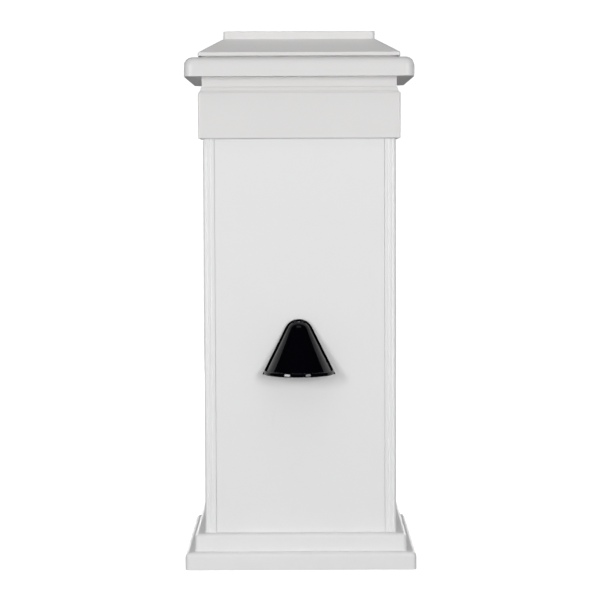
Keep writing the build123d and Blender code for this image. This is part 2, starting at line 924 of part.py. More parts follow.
def supply_gland():
    """The supply cable's gland: hexagon and dome below the shelf, thread through it."""
    across = 2 * (gland_thread_radius + gland_hex_wall)
    hex_body = hexagon(0, gland_y, gland_z, (0, 0, -1), across, gland_hex_length)
    dome_top = gland_z - gland_hex_length
    dome = rod(0, gland_y, dome_top, (0, 0, -1), gland_thread_radius + gland_dome_wall,
               gland_dome_length)
    dome = fillet(dome.faces().sort_by(Axis.Z)[0].edges(), gland_dome_edge)
    thread = rod(0, gland_y, gland_z, (0, 0, 1), gland_thread_radius, gland_thread_length)
    foot = dome_top - gland_dome_length
    bore = rod(0, gland_y, foot, (0, 0, 1), gland_bore, gland_z + gland_thread_length - foot)
    return hex_body + dome + thread - bore


def gland_nut():
    """The lock nut on the gland's thread, above the shelf."""
    z = gland_z + gland_shelf_sheet
    across = 2 * (gland_thread_radius + gland_nut_wall)
    nut = hexagon(0, gland_y, z, (0, 0, 1), across, gland_nut_thickness)
    return nut - rod(0, gland_y, z, (0, 0, 1), gland_thread_radius + fastener_gap,
                     gland_nut_thickness)


# ------------------------------------------------------------------ socket
def bezel_screw_set(radius, with_heads):
    """The four screws that clamp bezel, panel and socket together, or their holes."""
    length = bezel_thickness + bezel_gasket_thickness + panel_thickness + socket_flange_thickness
    if with_heads:
        length -= screw_short
    places = [(bezel_screw_low_x, hood_bottom_z + bezel_screw_low_rise),
              (bezel_screw_high_x, hood_top_z - bezel_screw_high_drop)]
    screws = []
    for offset, z in places:
        for side in (-1, 1):
            x = hood_shift_x + side * offset
            shank = rod(x, bezel_face_y, z, (0, 1, 0), radius, length)
            head = rod(x, bezel_face_y, z, (0, -1, 0), screw_head_radius, screw_head_height)
            screws.append(shank + head if with_heads else shank)
    return screws


def contact_set(gap, depth_start, depth_end, hollow):
    """The seven contact sleeves between two depths, or their holes: one in the middle, six round."""
    circle = insert_radius - contact_edge
    solids = []
    for angle in (None, 0, 60, 120, 180, 240, 300):
        signal = angle in (60, 120)
        x = 0 if angle is None else circle * cos(radians(angle))
        z = 0 if angle is None else circle * sin(radians(angle))
        radius = signal_sleeve_radius if signal else power_sleeve_radius
        bore = signal_bore_radius if signal else power_bore_radius
        place = (x + hood_shift_x, bezel_face_y + depth_start, socket_z + z)
        sleeve = rod(*place, (0, 1, 0), radius + gap, depth_end - depth_start)
        if hollow:
            sleeve -= rod(*place, (0, 1, 0), bore, depth_end - depth_start - contact_solid_length)
        solids.append(sleeve)
    return solids


def lock_pin_bore(length):
    """The bore for the plug's locking pin, up from the socket's axis."""
    return rod(hood_shift_x, lock_pin_y, socket_z, (0, 0, 1), lock_pin_radius + moving_gap, length)


def socket_cup():
    """The socket's round cup, closed at the back, with holes for the contacts and the pin."""
    x = hood_shift_x
    cup = rod(x, bezel_face_y, socket_z, (0, 1, 0), socket_radius, socket_depth + socket_back)
    cup -= rod(x, bezel_face_y, socket_z, (0, 1, 0), socket_bore, socket_depth)
    cup -= lock_pin_bore(socket_radius + cut)
    return cup - contact_set(fastener_gap, 0, socket_depth + socket_back, False)


def socket_flange():
    """The flange behind the panel that the cup is clamped in."""
    x = hood_shift_x
    y0 = -panel_back
    w = socket_flange_width / 2
    flange = span(x - w, x + w, y0, y0 + socket_flange_thickness, hood_bottom_z,
                  hood_top_z - socket_flange_drop)
    flange = fillet(flange.edges().filter_by(Axis.Y), socket_flange_corner)
    flange -= rod(x, y0, socket_z, (0, 1, 0), socket_radius + fastener_gap, socket_flange_thickness)
    return flange - bezel_screw_set(screw_radius + fastener_gap, False)


def socket_insert():
    """The contact carrier: a round block with a flat on top."""
    r = insert_radius
    face_y = bezel_face_y + insert_recess
    back_y = bezel_face_y + socket_depth
    block = rod(hood_shift_x, face_y, socket_z, (0, 1, 0), r, back_y - face_y)
    block -= Pos(hood_shift_x, 0, 0) * span(-r, r, face_y, back_y, socket_z + r - insert_flat_cut,
                                            socket_z + r)
    return block - contact_set(fastener_gap, insert_recess, socket_depth, False)


def socket_contacts():
    """The seven contact sleeves."""
    back = socket_depth + socket_back + contact_tail
    return group(contact_set(0, insert_recess + contact_recess, back, True))


def lock_actuator():
    """The motor box that drives the plug's locking pin, seated on the back of the flange."""
    w = actuator_width / 2
    y0 = -panel_back + socket_flange_thickness
    z0 = socket_z + socket_radius + actuator_gap
    box = span(hood_shift_x - w, hood_shift_x + w, y0, y0 + actuator_depth, z0,
               z0 + actuator_height)
    box = fillet(box.edges().filter_by(Axis.Z), actuator_corner)
    return box - lock_pin_bore(socket_bore + lock_pin_length + cut)


def lock_pin():
    """The pin that holds the plug, shown drawn back."""
    return rod(hood_shift_x, lock_pin_y, socket_z + socket_bore + lock_pin_gap, (0, 0, 1),
               lock_pin_radius, lock_pin_length)


# ------------------------------------------------------------------ hood
def hood_outline(radius, bottom_z, top_z):
    """Half the hood's upright section, a round top that runs into a straight slope, and its foot."""
    centre_z = top_z - radius
    angle = radians(hood_half_angle)
    touch = (radius * cos(angle), centre_z + radius * sin(angle))
    foot = touch[0] + (touch[1] - bottom_z) * tan(angle)
    crown = CenterArc((0, centre_z), radius, hood_half_angle, 90 - hood_half_angle)
    sides = [Line(touch, (foot, bottom_z)), Line((foot, bottom_z), (0, bottom_z)),
             Line((0, bottom_z), (0, top_z))]
    return make_face(Curve() + [crown] + sides), foot


def hood_solid(inset, band_step):
    """The hood's outline turned about an upright axis in the wall plane, front half only."""
    top_z = hood_top_z - inset
    section, foot = hood_outline(hood_top_radius - inset, hood_bottom_z, top_z)
    cone = revolve(Plane.XZ * section, Axis.Z, 360)
    cone += rod(0, 0, hood_bottom_z, (0, 0, 1), foot + band_step, hood_band_height)
    reach = foot + band_step
    front = span(-reach, reach, -reach, 0, hood_bottom_z, top_z)
    return Pos(hood_shift_x, hood_plane_y, 0) * (cone & front)


def hood_pin_bore():
    """The bore of the hood's hinge, right through lugs and knuckles."""
    length = 2 * (pin_half + cut)
    return rod(hood_shift_x - length / 2, hood_hinge_y, hood_hinge_z, (1, 0, 0),
               hinge_pin_radius + running_gap, length)


def hood_lid():
    """The weather hood: a half cone, open below, hung from two knuckles at its top."""
    x = hood_shift_x
    outer = hood_solid(0, hood_band_step)
    rings = outer.edges().filter_by(GeomType.CIRCLE)
    outer = fillet(rings.group_by(SortBy.RADIUS)[-1], hood_band_edge)
    lid = outer - hood_solid(hood_wall, hood_band_step - hood_wall)
    reach = hood_top_radius + hood_wall
    behind = span(x - reach, x + reach, hood_hinge_y, hood_plane_y, hood_hinge_z, hood_top_z)
    notch_x = lid_knuckle_x
    notch = span(x - notch_x, x + notch_x, hood_hinge_y - hinge_knuckle_radius - notch_gap,
                 hood_plane_y, hood_hinge_z - hinge_knuckle_radius - notch_gap, hood_top_z)
    lid = lid - behind - notch
    for side in (-1, 1):
        low = min(side * lid_knuckle_x, side * pin_half)
        lid += rod(x + low, hood_hinge_y, hood_hinge_z, (1, 0, 0), hinge_knuckle_radius,
                   lid_knuckle_width)
    return lid - hood_pin_bore()


def bezel_blank(thickness, face_y):
    """The bezel's outline, a little larger than the hood, as a plate."""
    top_z = hood_top_z + bezel_margin / 2
    section = hood_outline(hood_top_radius + bezel_margin, hood_bottom_z, top_z)[0]
    whole = section + mirror(section, Plane.YZ)
    plate = extrude(Plane.XZ.offset(-face_y) * whole, amount=-thickness)
    plate -= rod(0, face_y, socket_z, (0, 1, 0), socket_radius + bezel_hole_gap, thickness)
    return Pos(hood_shift_x, 0, 0) * plate


def socket_bezel():
    """The black plate round the socket, with the two lugs that carry the hood."""
    bezel = bezel_blank(bezel_thickness, bezel_face_y)
    radius = hinge_knuckle_radius - lug_slack
    for side in (-1, 1):
        low = hood_shift_x + min(side * lug_inner_x, side * lug_outer_x)
        bezel += rod(low, hood_hinge_y, hood_hinge_z, (1, 0, 0), radius, lug_width)
        bezel += span(low, low + lug_width, hood_hinge_y, bezel_face_y + cut,
                      hood_hinge_z - radius, hood_hinge_z + radius)
    return bezel - hood_pin_bore() - bezel_screw_set(screw_radius + fastener_gap, False)


def bezel_gasket():
    """The thin seal between the bezel and the front panel."""
    gasket = bezel_blank(bezel_gasket_thickness, panel_face_y - bezel_gasket_thickness)
    return gasket - bezel_screw_set(screw_radius + fastener_gap, False)


def hood_hinge_pin():
    """The hood's hinge pin."""
    return rod(hood_shift_x - pin_half, hood_hinge_y, hood_hinge_z, (1, 0, 0),
               hinge_pin_radius, 2 * pin_half)


def hood_spring():
    """The light torsion spring between the bezel's lugs."""
    pitch = spring_wire + spring_pitch_gap
    height = pitch * spring_turns
    path = Helix(pitch=pitch, height=height, radius=spring_radius)
    start = Plane(origin=path @ 0, z_dir=path % 0)
    coil = sweep(start * Circle(spring_wire / 2), path=path)
    turned = Pos(0, 0, -height / 2) * coil
    return Pos(hood_shift_x, hood_hinge_y, hood_hinge_z) * Rot(0, 90, 0) * turned


# ------------------------------------------------------------------ rear door
def rear_door():
    """The rear door panel, with the lock's hole."""
    door = span(-door_half, door_half, door_inner_y, door_outer_y, door_bottom, door_top)
    door = fillet(door.edges().group_by(Axis.Y)[-1], door_edge)
    return door - rod(door_lock_x, door_inner_y, door_middle_z, (0, 1, 0),
                      lock_barrel_radius + fastener_gap, door_thickness)


def door_stiffeners():
    """Two folded ribs that stiffen the door."""
    w = stiffener_width / 2
    room = w - stiffener_sheet
    y0 = door_inner_y - stiffener_depth
    z0 = door_bottom + stiffener_end
    z1 = door_top - stiffener_end
    rib = span(-w, w, y0, door_inner_y, z0, z1)
    rib -= span(-room, room, y0 + stiffener_sheet, door_inner_y, z0, z1)
    x = panel_half - stiffener_inset
    return group([Pos(-x, 0, 0) * rib, Pos(x, 0, 0) * rib])


def door_gasket():
    """The compression seal on the frame, all round the door's opening."""
    low = strip_tip + door_seal_lap
    high = trim_inner - door_seal_inset
    width = high - low
    z0 = door_bottom + door_seal_inset
    z1 = door_top - door_seal_inset
    outer = span(-high, high, panel_back, panel_back + door_seal, z0, z1)
    return outer - span(-low, low, panel_back, panel_back + door_seal, z0 + width, z1 - width)


def hinge_heights():
    """Heights of the middle of each door hinge."""
    low = door_bottom + door_hinge_end
    pitch = (door_top - door_hinge_end - low) / (door_hinge_count - 1)
    return [low + place * pitch for place in range(door_hinge_count)]


def fixed_leaf(z):
    """A hinge leaf on the corner trim, with the two outer knuckles."""
    third = door_hinge_length / 3
    reach = door_hinge_length / 2
    x1 = door_axis_x - fixed_leaf_offset
    leaf = span(x1 - leaf_width, x1, half, half + leaf_thickness, z - reach, z + reach)
    web_x = door_axis_x - fixed_web_offset
    web_y = door_outer_y + web_lift
    for low in (z - reach, z + reach - third):
        leaf += rod(door_axis_x, door_axis_y, low, (0, 0, 1), door_knuckle_radius, third)
        leaf += span(web_x, door_axis_x, web_y, web_y + web_thickness, low, low + third)
        leaf += span(web_x, x1, half, web_y + web_thickness, low, low + third)
    return leaf


def moving_leaf(z):
    """A hinge leaf on the door, with the middle knuckle."""
    reach = door_hinge_length / 2
    x0 = door_axis_x + moving_leaf_offset
    leaf = span(x0, x0 + leaf_width, door_outer_y, door_outer_y + leaf_thickness,
                z - reach, z + reach)
    low = z - door_hinge_length / 6 + knuckle_end_gap
    height = door_hinge_length / 3 - 2 * knuckle_end_gap
    web_y = door_outer_y + web_lift
    leaf += rod(door_axis_x, door_axis_y, low, (0, 0, 1), door_knuckle_radius, height)
    return leaf + span(door_axis_x, door_axis_x + moving_web_offset, web_y, web_y + web_thickness,
                       low, low + height)


def door_hinges(leaf):
    """All the fixed leaves, or all the moving ones, bored for their pins."""
    leaves = []
    for z in hinge_heights():
        bore = rod(door_axis_x, door_axis_y, z - door_hinge_length / 2, (0, 0, 1),
                   door_pin_radius + running_gap, door_hinge_length)
        leaves.append(leaf(z) - bore)
    return group(leaves)


def door_hinge_pins():
    """The headed pins of the door hinges."""
    pins = []
    for z in hinge_heights():
        low = z - door_hinge_length / 2
        pin = rod(door_axis_x, door_axis_y, low, (0, 0, 1), door_pin_radius, door_hinge_length)
        pin += rod(door_axis_x, door_axis_y, low + door_hinge_length, (0, 0, 1),
                   door_knuckle_radius - door_pin_head_step, door_pin_head)
        pins.append(pin)
    return group(pins)


# ------------------------------------------------------------------ door lock
def lock_rod(from_y, to_y, radius):
    """A round bar on the door lock's axis, between two depths."""
    return rod(door_lock_x, from_y, door_middle_z, (0, 1, 0), radius, to_y - from_y)


def lock_square(from_y, to_y, gap):
    """A square bar on the door lock's axis, between two depths."""
    w = lock_key_size / 2 + gap
    return span(door_lock_x - w, door_lock_x + w, from_y, to_y,
                door_middle_z - w, door_middle_z + w)


def lock_barrel():
    """The lock's fixed barrel, with a rim outside the door."""
    rim_y = door_outer_y + lock_rim_depth
    rim = lock_rod(door_outer_y, rim_y, lock_barrel_radius + lock_rim_width)
    rim = fillet(rim.edges().group_by(Axis.Y)[-1], lock_rim_edge)
    back_y = cam_back_y + moving_gap
    body = lock_rod(back_y, door_outer_y, lock_barrel_radius)
    return rim + body - lock_rod(back_y, rim_y, lock_core_radius + running_gap)


def lock_nut():
    """The nut that clamps the lock's barrel to the door."""
    nut = hexagon(door_lock_x, door_inner_y, door_middle_z, (0, -1, 0), lock_nut_across,
                  lock_nut_thickness)
    return nut - lock_rod(door_inner_y - lock_nut_thickness, door_inner_y,
                          lock_barrel_radius + fastener_gap)


def lock_core():
    """The turning core, with a square key recess outside and a square tail inside."""
    face_y = door_outer_y + lock_core_proud
    core = lock_rod(cam_back_y, face_y, lock_core_radius)
    core -= lock_square(face_y - lock_key_depth, face_y, 0)
    return core + lock_square(cam_back_y - cam_thickness - cam_tail_proud, cam_back_y, 0)


def lock_cam():
    """The cam on the core's tail, shown hanging down, unlocked."""
    w = cam_width / 2
    y0 = cam_back_y - cam_thickness
    cam = span(door_lock_x - w, door_lock_x + w, y0, cam_back_y, door_middle_z - cam_length,
               door_middle_z + w)
    cam = fillet(cam.edges().filter_by(Axis.Y), cam_corner)
    return cam - lock_square(y0, cam_back_y, fastener_gap)


def sub_parts():
    """Every sub-part by its name."""
    cap_holes = four_sides(cap_screw(screw_radius + fastener_gap, False))
    nodes = {
        "base_plate": base_plate(),
        "plinth_lower": plinth_tier(plinth_lower_overhang, 0, plinth_lower_height),
        "plinth_upper": plinth_tier(plinth_upper_overhang, plinth_lower_height, plinth_top),
        "front_panel": front_panel(),
        "left_panel": Rot(0, 0, -90) * side_panel(),
        "right_panel": Rot(0, 0, 90) * side_panel(),
        "panel_rails": panel_rails(),
        "pan_head_screws": pan_head_screws(),
        "collar_band": collar_band(),
        "neck_moulding": neck_moulding(),
        "head_frame": head_frame(),
        "cap_brackets": cap_brackets(),
        "cap_soffit": cap_soffit() - cap_holes,
        "cap_tray": cap_tray(),
        "cap_seal": cap_seal(),
        "cap_roof": cap_roof(),
        "cap_crown": cap_crown(),
        "frame_uprights": frame_uprights(),
        "equipment_plate": equipment_plate(),
        "din_rails": group([din_rail(z) for z in (terminal_z, meter_z, switch_z)]),
        "isolator_body": isolator_body(),
        "isolator_knob": isolator_knob(),
        "breaker_body": breaker_body(),
        "breaker_lever": breaker_lever(),
        "breaker_test_button": breaker_button(),
        "contactor": device(contactor_x, contactor_width, meter_z, 4, contactor_nose),
        "energy_meter": energy_meter(),
        "power_supply": device(supply_x, supply_width, meter_z, 3, supply_nose),
        "charge_controller": charge_controller(),
        "terminal_blocks": terminal_blocks(),
        "earth_bar": earth_bar(),
        "gland_plate": gland_plate(),
        "supply_gland": supply_gland(),
        "gland_nut": gland_nut(),
        "socket_cup": socket_cup(),
        "socket_flange": socket_flange(),
        "socket_insert": socket_insert(),
        "socket_contacts": socket_contacts(),
        "lock_actuator": lock_actuator(),
        "lock_pin": lock_pin(),
        "socket_bezel": socket_bezel(),
        "bezel_gasket": bezel_gasket(),
        "bezel_screws": group(bezel_screw_set(screw_radius, True)),
        "hood_lid": hood_lid(),
        "hood_hinge_pin": hood_hinge_pin(),
        "hood_spring": hood_spring(),
        "rear_door": rear_door(),
        "door_stiffeners": door_stiffeners(),
        "door_gasket": door_gasket(),
        "door_hinge_fixed": door_hinges(fixed_leaf),
        "door_hinge_moving": door_hinges(moving_leaf),
        "door_hinge_pins": door_hinge_pins(),
        "door_lock_barrel": lock_barrel(),
        "door_lock_nut": lock_nut(),
        "door_lock_core": lock_core(),
        "door_lock_cam": lock_cam(),
    }
    nodes.update(corner_trims())
    return nodes


os.makedirs("parts", exist_ok=True)
for name, shape in sub_parts().items():
    export_step(shape, f"parts/{name}.step")
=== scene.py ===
"""The charging post's looks: materials, small mesh pieces, light and camera, in metres."""
import json
from math import cos, sin, radians

import bpy
from mathutils import Matrix, Vector


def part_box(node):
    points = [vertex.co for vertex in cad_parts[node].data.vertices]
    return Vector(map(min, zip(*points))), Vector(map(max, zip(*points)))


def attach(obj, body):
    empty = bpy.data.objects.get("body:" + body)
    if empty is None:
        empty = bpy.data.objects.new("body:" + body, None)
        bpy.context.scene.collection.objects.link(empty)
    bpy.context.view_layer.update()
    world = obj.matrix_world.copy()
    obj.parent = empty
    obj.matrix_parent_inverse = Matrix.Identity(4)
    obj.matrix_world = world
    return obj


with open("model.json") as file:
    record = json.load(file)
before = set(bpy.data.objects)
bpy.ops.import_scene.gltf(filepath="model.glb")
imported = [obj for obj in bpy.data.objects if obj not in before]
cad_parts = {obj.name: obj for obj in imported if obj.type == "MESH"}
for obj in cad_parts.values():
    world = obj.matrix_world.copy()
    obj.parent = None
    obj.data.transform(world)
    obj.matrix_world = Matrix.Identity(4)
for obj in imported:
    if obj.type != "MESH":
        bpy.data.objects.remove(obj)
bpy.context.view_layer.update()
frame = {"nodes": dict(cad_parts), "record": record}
nodes = frame["nodes"]

# ---- the view: a long lens, nearly level, above the middle of the post
SHAFT_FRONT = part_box("corner_trim_front_left")[0].y
CAMERA_DISTANCE = 3.71
CAMERA_HEIGHT = 0.734
CAMERA_PITCH = 3.6
CAMERA_ROLL = -0.22
CAMERA_SIDE = 0.0
LENS = 120.0
SENSOR = 36.0

# ---- the light: the room in front of the post and behind it, the floor's own glow, and each
# lamp's place, width, height and power; the strips show in the gloss alone
ROOM_FRONT = 0.33
ROOM_BACK = 0.24
FLOOR_GLOW = 0.85
LAMP_AIM = (0.0, -0.2, 0.45)
LAMPS = {
    "softbox_left": ((-2.35, -3.0, 0.98), 0.62, 1.25, 48.0),
    "softbox_right": ((1.95, -3.35, 0.98), 0.62, 1.25, 48.0),
    "softbox_top": ((0.0, -1.6, 3.4), 2.0, 1.0, 7.0),
    "strip_left": ((-2.05, -2.8, 0.15), 1.1, 0.25, 34.0),
    "strip_right": ((1.65, -3.0, 0.15), 0.9, 0.25, 12.0),
    "softbox_rear_left": ((-1.7, 3.4, 1.1), 1.2, 1.6, 42.0),
    "softbox_rear_right": ((1.7, 3.4, 1.1), 1.2, 1.6, 42.0),
}
STRIPS = ("strip_left", "strip_right")

# ---- the terminal screws: how many wells a row of each device has, and where they are
DEVICE_WELLS = {"isolator_body": 4, "breaker_body": 4, "contactor": 4, "energy_meter": 4,
                "power_supply": 3}
DEVICE_WELL_RISE = 0.03375
DEVICE_WELL_FLOOR = 0.0336
DEVICE_SCREW_RADIUS = 0.0029
TERMINALS = 8
TERMINAL_PITCH = 0.0122
TERMINAL_HALF = 0.006
TERMINAL_WELL_RISE = 0.018
TERMINAL_WELL_DEPTH = 0.0119
TERMINAL_SCREW_RADIUS = 0.0027
SCREW_DISC = 0.0010
SCREW_HEIGHT = 0.0024


# ------------------------------------------------------------------ materials
class Shader:
    """A node material under construction, built round one Principled shader."""

    def __init__(self, name, roughness=0.5, metallic=0.0, ior=1.5):
        self.material = bpy.data.materials.new(name)
        self.material.use_nodes = True
        self.tree = self.material.node_tree
        self.surface = self.tree.nodes["Principled BSDF"]
        self.set("Roughness", roughness)
        self.set("Metallic", metallic)
        self.set("IOR", ior)
        self.place = self.node("ShaderNodeTexCoord").outputs["Object"]
        self.normal = None

    def set(self, socket, value):
        """Set a socket of the Principled shader, or link a node's output to it."""
        if isinstance(value, bpy.types.NodeSocket):
            self.tree.links.new(value, self.surface.inputs[socket])
        else:
            self.surface.inputs[socket].default_value = value

    def node(self, kind, inputs=None, **settings):
        """Add a node, with its settings and inputs."""
        made = self.tree.nodes.new(kind)
        for key, value in settings.items():
            setattr(made, key, value)
        for key, value in (inputs or {}).items():
            if isinstance(value, bpy.types.NodeSocket):
                self.tree.links.new(value, made.inputs[key])
            else:
                made.inputs[key].default_value = value
        return made

    def stretched(self, x, y, z):
        """Object coordinates, scaled along each axis."""
        return self.node("ShaderNodeMapping", {"Vector": self.place, "Scale": (x, y, z)}).outputs[0]

    def noise(self, scale, detail=3.0, roughness=0.55, place=None, distortion=0.0):
        """A noise pattern, so many blobs to the metre."""
        inputs = {"Vector": place or self.place, "Scale": scale, "Detail": detail,
                  "Roughness": roughness, "Distortion": distortion}
        return self.node("ShaderNodeTexNoise", inputs).outputs["Fac"]

    def cells(self, scale, feature="F1", output="Distance"):
        """A cell pattern, so many cells to the metre."""
        inputs = {"Vector": self.place, "Scale": scale}
        return self.node("ShaderNodeTexVoronoi", inputs, feature=feature).outputs[output]

    def ramp(self, value, low, high, out_low=0.0, out_high=1.0):
        """Map a value's range onto another, clamped."""
        inputs = {"Value": value, "From Min": low, "From Max": high,
                  "To Min": out_low, "To Max": out_high}
        return self.node("ShaderNodeMapRange", inputs).outputs[0]

    def math(self, operation, a, b=0.0):
        """A sum, product or other simple combination."""
        return self.node("ShaderNodeMath", {0: a, 1: b}, operation=operation).outputs[0]

    def mix(self, factor, a, b):
        """Blend two colours."""
        made = self.node("ShaderNodeMix", data_type="RGBA")
        for key, value in (("Factor", factor), ("A", a), ("B", b)):
            socket = [s for s in made.inputs if s.name == key and s.enabled][0]
            if isinstance(value, bpy.types.NodeSocket):
                self.tree.links.new(value, socket)
            elif key == "Factor":
                socket.default_value = value
            else:
                socket.default_value = (*value, 1.0)
        return [s for s in made.outputs if s.enabled][0]

    def bump(self, height, distance):
        """Add relief, so many metres high, on top of any there is."""
        inputs = {"Height": height, "Distance": distance, "Strength": 1.0}
        if self.normal is not None:
            inputs["Normal"] = self.normal
        self.normal = self.node("ShaderNodeBump", inputs).outputs[0]
        self.set("Normal", self.normal)

    def height(self):
        """The height above the ground, as a value."""
        return self.node("ShaderNodeSeparateXYZ", {0: self.place}).outputs["Z"]

    def upward(self):
        """How far the surface faces up, as a value."""
        normal = self.node("ShaderNodeNewGeometry").outputs["Normal"]
        return self.node("ShaderNodeSeparateXYZ", {0: normal}).outputs["Z"]

    def edges(self, radius):
        """A value that rises at the edges of a solid within a radius."""
        soft = self.node("ShaderNodeBevel", {"Radius": radius}, samples=4).outputs[0]
        hard = self.node("ShaderNodeNewGeometry").outputs["Normal"]
        dot = self.node("ShaderNodeVectorMath", {0: soft, 1: hard}, operation="DOT_PRODUCT")
        return self.ramp(dot.outputs["Value"], 0.995, 0.86)


def white_shell(name, tint, grain, wear=0.5, relief=0.0004):
    """White moulded or coated skin: faint orange peel, scuffs, dust near the ground, and dust with
    painted shade on faces that point up.
    """
    shader = Shader(name, ior=1.46)
    clean = shader.mix(shader.noise(2.6, 4.0), tint, tuple(c * 0.975 for c in tint))
    dust_and_shade_colour, scuff_colour = (0.56, 0.53, 0.50), (0.36, 0.35, 0.34)
    # dust near the ground is dirt; the amount on top is dust and also painted shade on faces that
    # point up
    dust_height, dust_low, dust_and_shade_on_top = 0.14, 0.10, 0.07
    orange_peel = 0.00006
    patchy = shader.ramp(shader.noise(11.0, 8.0, 0.7), 0.42, 0.72)
    low = shader.ramp(shader.height(), dust_height, 0.0, 0.0, dust_low)
    # dust and painted shade: faces that point up are darkened towards the dust colour
    settled_dust_and_top_shade = shader.ramp(shader.upward(), 0.55, 0.9, 0.0, dust_and_shade_on_top)
    dust_and_top_shade = shader.math("ADD", shader.math("MULTIPLY", low, patchy),
                        shader.math("MULTIPLY", settled_dust_and_top_shade, shader.ramp(patchy, 0.0, 1.0, 0.7, 1.0)))
    # darkened by dust near the ground, and by dust with painted shade on faces that point up
    dusty_and_top_shaded = shader.mix(dust_and_top_shade, clean, dust_and_shade_colour)
    scuff_lines = shader.noise(90.0, 2.0, 0.5, shader.stretched(1.0, 1.0, 0.18), 0.6)
    scuff_zone = shader.ramp(shader.noise(7.0, 2.0), 0.60, 0.70, 0.0, 0.10 * wear)
    scuffs = shader.math("MULTIPLY", shader.ramp(scuff_lines, 0.66, 0.74), scuff_zone)
    marked = shader.mix(scuffs, dusty_and_top_shaded, scuff_colour)
    shader.set("Base Color", marked)
    rough = shader.ramp(shader.noise(24.0, 5.0, 0.6), 0.3, 0.7, 0.36, 0.47)
    shader.set("Roughness", shader.math("ADD", rough, shader.math("MULTIPLY", scuffs, 1.5)))
    shader.bump(shader.noise(3.2, 2.0), relief)
    shader.bump(shader.noise(grain, 3.0, 0.6), orange_peel)
    return shader.material


def plastic(name, colour, roughness, grain=1400.0, relief=0.00006):
    """Moulded plastic with a fine spark-eroded grain and slightly worn edges."""
    shader = Shader(name, ior=1.49)
    worn = tuple(min(1.0, c * 1.35 + 0.02) for c in colour)
    tone = shader.mix(shader.noise(14.0, 4.0), colour, tuple(c * 0.86 for c in colour))
    rubbed = shader.math("MULTIPLY", shader.edges(0.0006), 0.5)
    shader.set("Base Color", shader.mix(rubbed, tone, worn))
    shader.set("Roughness", shader.ramp(shader.noise(60.0, 4.0), 0.3, 0.7, roughness - 0.06,
                                        roughness + 0.08))
    shader.bump(shader.noise(grain, 2.0), relief)
    return shader.material


def gloss_black(name):
    """Polished black plastic with hairline marks and a trace of dust."""
    shader = Shader(name, ior=1.30)
    dust = shader.ramp(shader.noise(420.0, 6.0, 0.7), 0.66, 0.80, 0.0, 0.05)
    shader.set("Base Color", shader.mix(dust, (0.0016, 0.0014, 0.0028), (0.02, 0.02, 0.02)))
    hairlines = shader.noise(160.0, 2.0, 0.5, shader.stretched(1.0, 1.0, 0.05), 0.4)
    rough = shader.ramp(hairlines, 0.55, 0.75, 0.05, 0.09)
    shader.set("Roughness", shader.math("ADD", rough, dust))
    shader.bump(shader.noise(7.0, 2.0), 0.0002)
    shader.bump(hairlines, 0.000004)
    return shader.material


def metal(name, colour, roughness, brush=None):
    """Bare or plated metal, brushed along the axis whose scale is the smallest."""
    shader = Shader(name, metallic=1.0)
    place = shader.stretched(*brush) if brush else shader.place
    streaks = shader.noise(900.0, 3.0, 0.6, place)
    stain = shader.ramp(shader.noise(30.0, 6.0, 0.65), 0.45, 0.75)
    darker = tuple(c * 0.72 for c in colour)
    tone = shader.mix(shader.math("MULTIPLY", stain, 0.6), colour, darker)
    bright = tuple(min(1.0, c * 1.25) for c in colour)
    rubbed = shader.math("MULTIPLY", shader.edges(0.0005), 0.7)
    shader.set("Base Color", shader.mix(rubbed, tone, bright))
    rough = shader.ramp(streaks, 0.3, 0.7, roughness - 0.07, roughness + 0.09)
    shader.set("Roughness", shader.math("ADD", rough, shader.math("MULTIPLY", stain, 0.10)))
    shader.bump(streaks, 0.00002)
    return shader.material


def galvanised(name):
    """Hot-dip galvanised steel with its crystal spangle."""
    spangle = 85.0
    shader = Shader(name, metallic=0.85)
    crystals = shader.cells(spangle, output="Color")
    grey = shader.node("ShaderNodeSeparateColor", {0: crystals}).outputs[0]
    tone = shader.mix(grey, (0.42, 0.44, 0.45), (0.60, 0.62, 0.63))
    white_rust = shader.ramp(shader.noise(18.0, 8.0, 0.7), 0.60, 0.74, 0.0, 0.35)
    shader.set("Base Color", shader.mix(white_rust, tone, (0.66, 0.67, 0.66)))
    shader.set("Roughness", shader.ramp(grey, 0.0, 1.0, 0.34, 0.54))
    shader.bump(shader.cells(spangle, "DISTANCE_TO_EDGE"), 0.00008)
    shader.bump(shader.noise(500.0, 3.0), 0.00003)
    return shader.material


def rubber(name, colour):
    """Extruded rubber with fine draw lines and a bloom of dust."""
    shader = Shader(name, ior=1.52)
    bloom = shader.ramp(shader.noise(45.0, 6.0, 0.7), 0.45, 0.75, 0.0, 0.35)
    shader.set("Base Color", shader.mix(bloom, colour, tuple(min(1.0, c + 0.07) for c in colour)))
    shader.set("Roughness", shader.ramp(bloom, 0.0, 0.35, 0.72, 0.92))
    shader.bump(shader.noise(700.0, 2.0, 0.5, shader.stretched(1.0, 1.0, 0.1)), 0.00008)
    return shader.material


